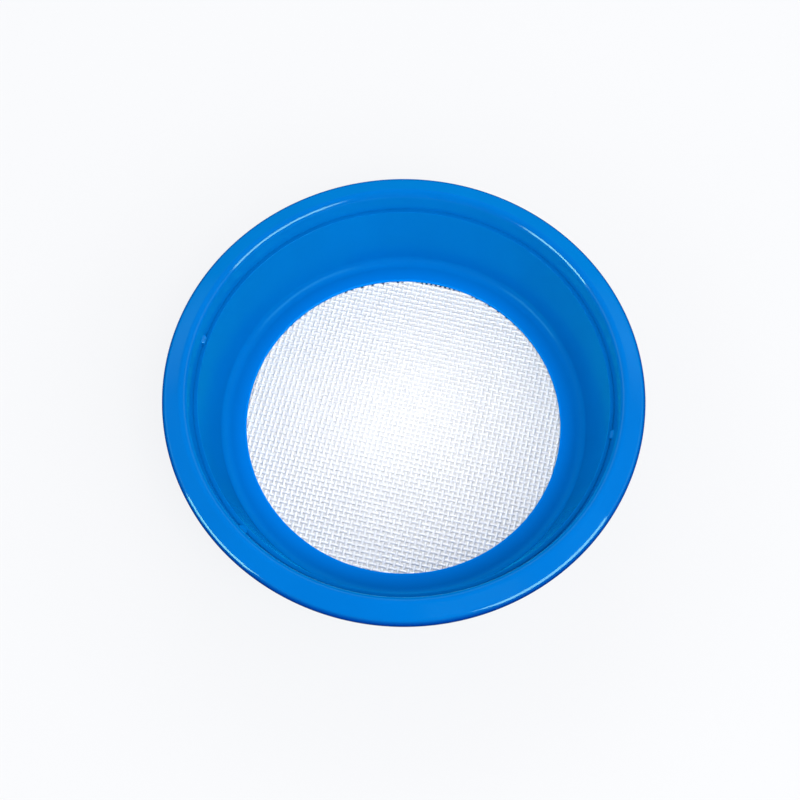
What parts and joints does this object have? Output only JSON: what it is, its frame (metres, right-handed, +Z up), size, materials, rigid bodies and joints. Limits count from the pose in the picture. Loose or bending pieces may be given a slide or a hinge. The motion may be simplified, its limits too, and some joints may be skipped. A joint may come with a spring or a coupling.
{
  "type": "hand leaf skimmer",
  "caption": "Round hand-held leaf skimmer: a shallow dish with a sloping grip flange and a flat woven mesh floor, clamped by an inner ring.",
  "frame": {"origin": "centre of the foot ring, on the surface that the skimmer stands on", "axes": "+Z up along the axis of the dish, towards its open side; +X to the right and +Y away from someone who faces it with the first snap lug at the far left"},
  "size_m": [0.22, 0.22, 0.0551],
  "materials": {
    "hoop_plastic": "glossy moulded blue",
    "ring_plastic": "glossy moulded blue",
    "mesh_wire": "white drawn monofilament, pressed oval, slightly shiny"
  },
  "bodies": {
    "root": {"outer_hoop": "hoop_plastic", "clamp_ring": "ring_plastic", "mesh_warp": "mesh_wire", "mesh_weft": "mesh_wire"}
  },
  "joints": []
}
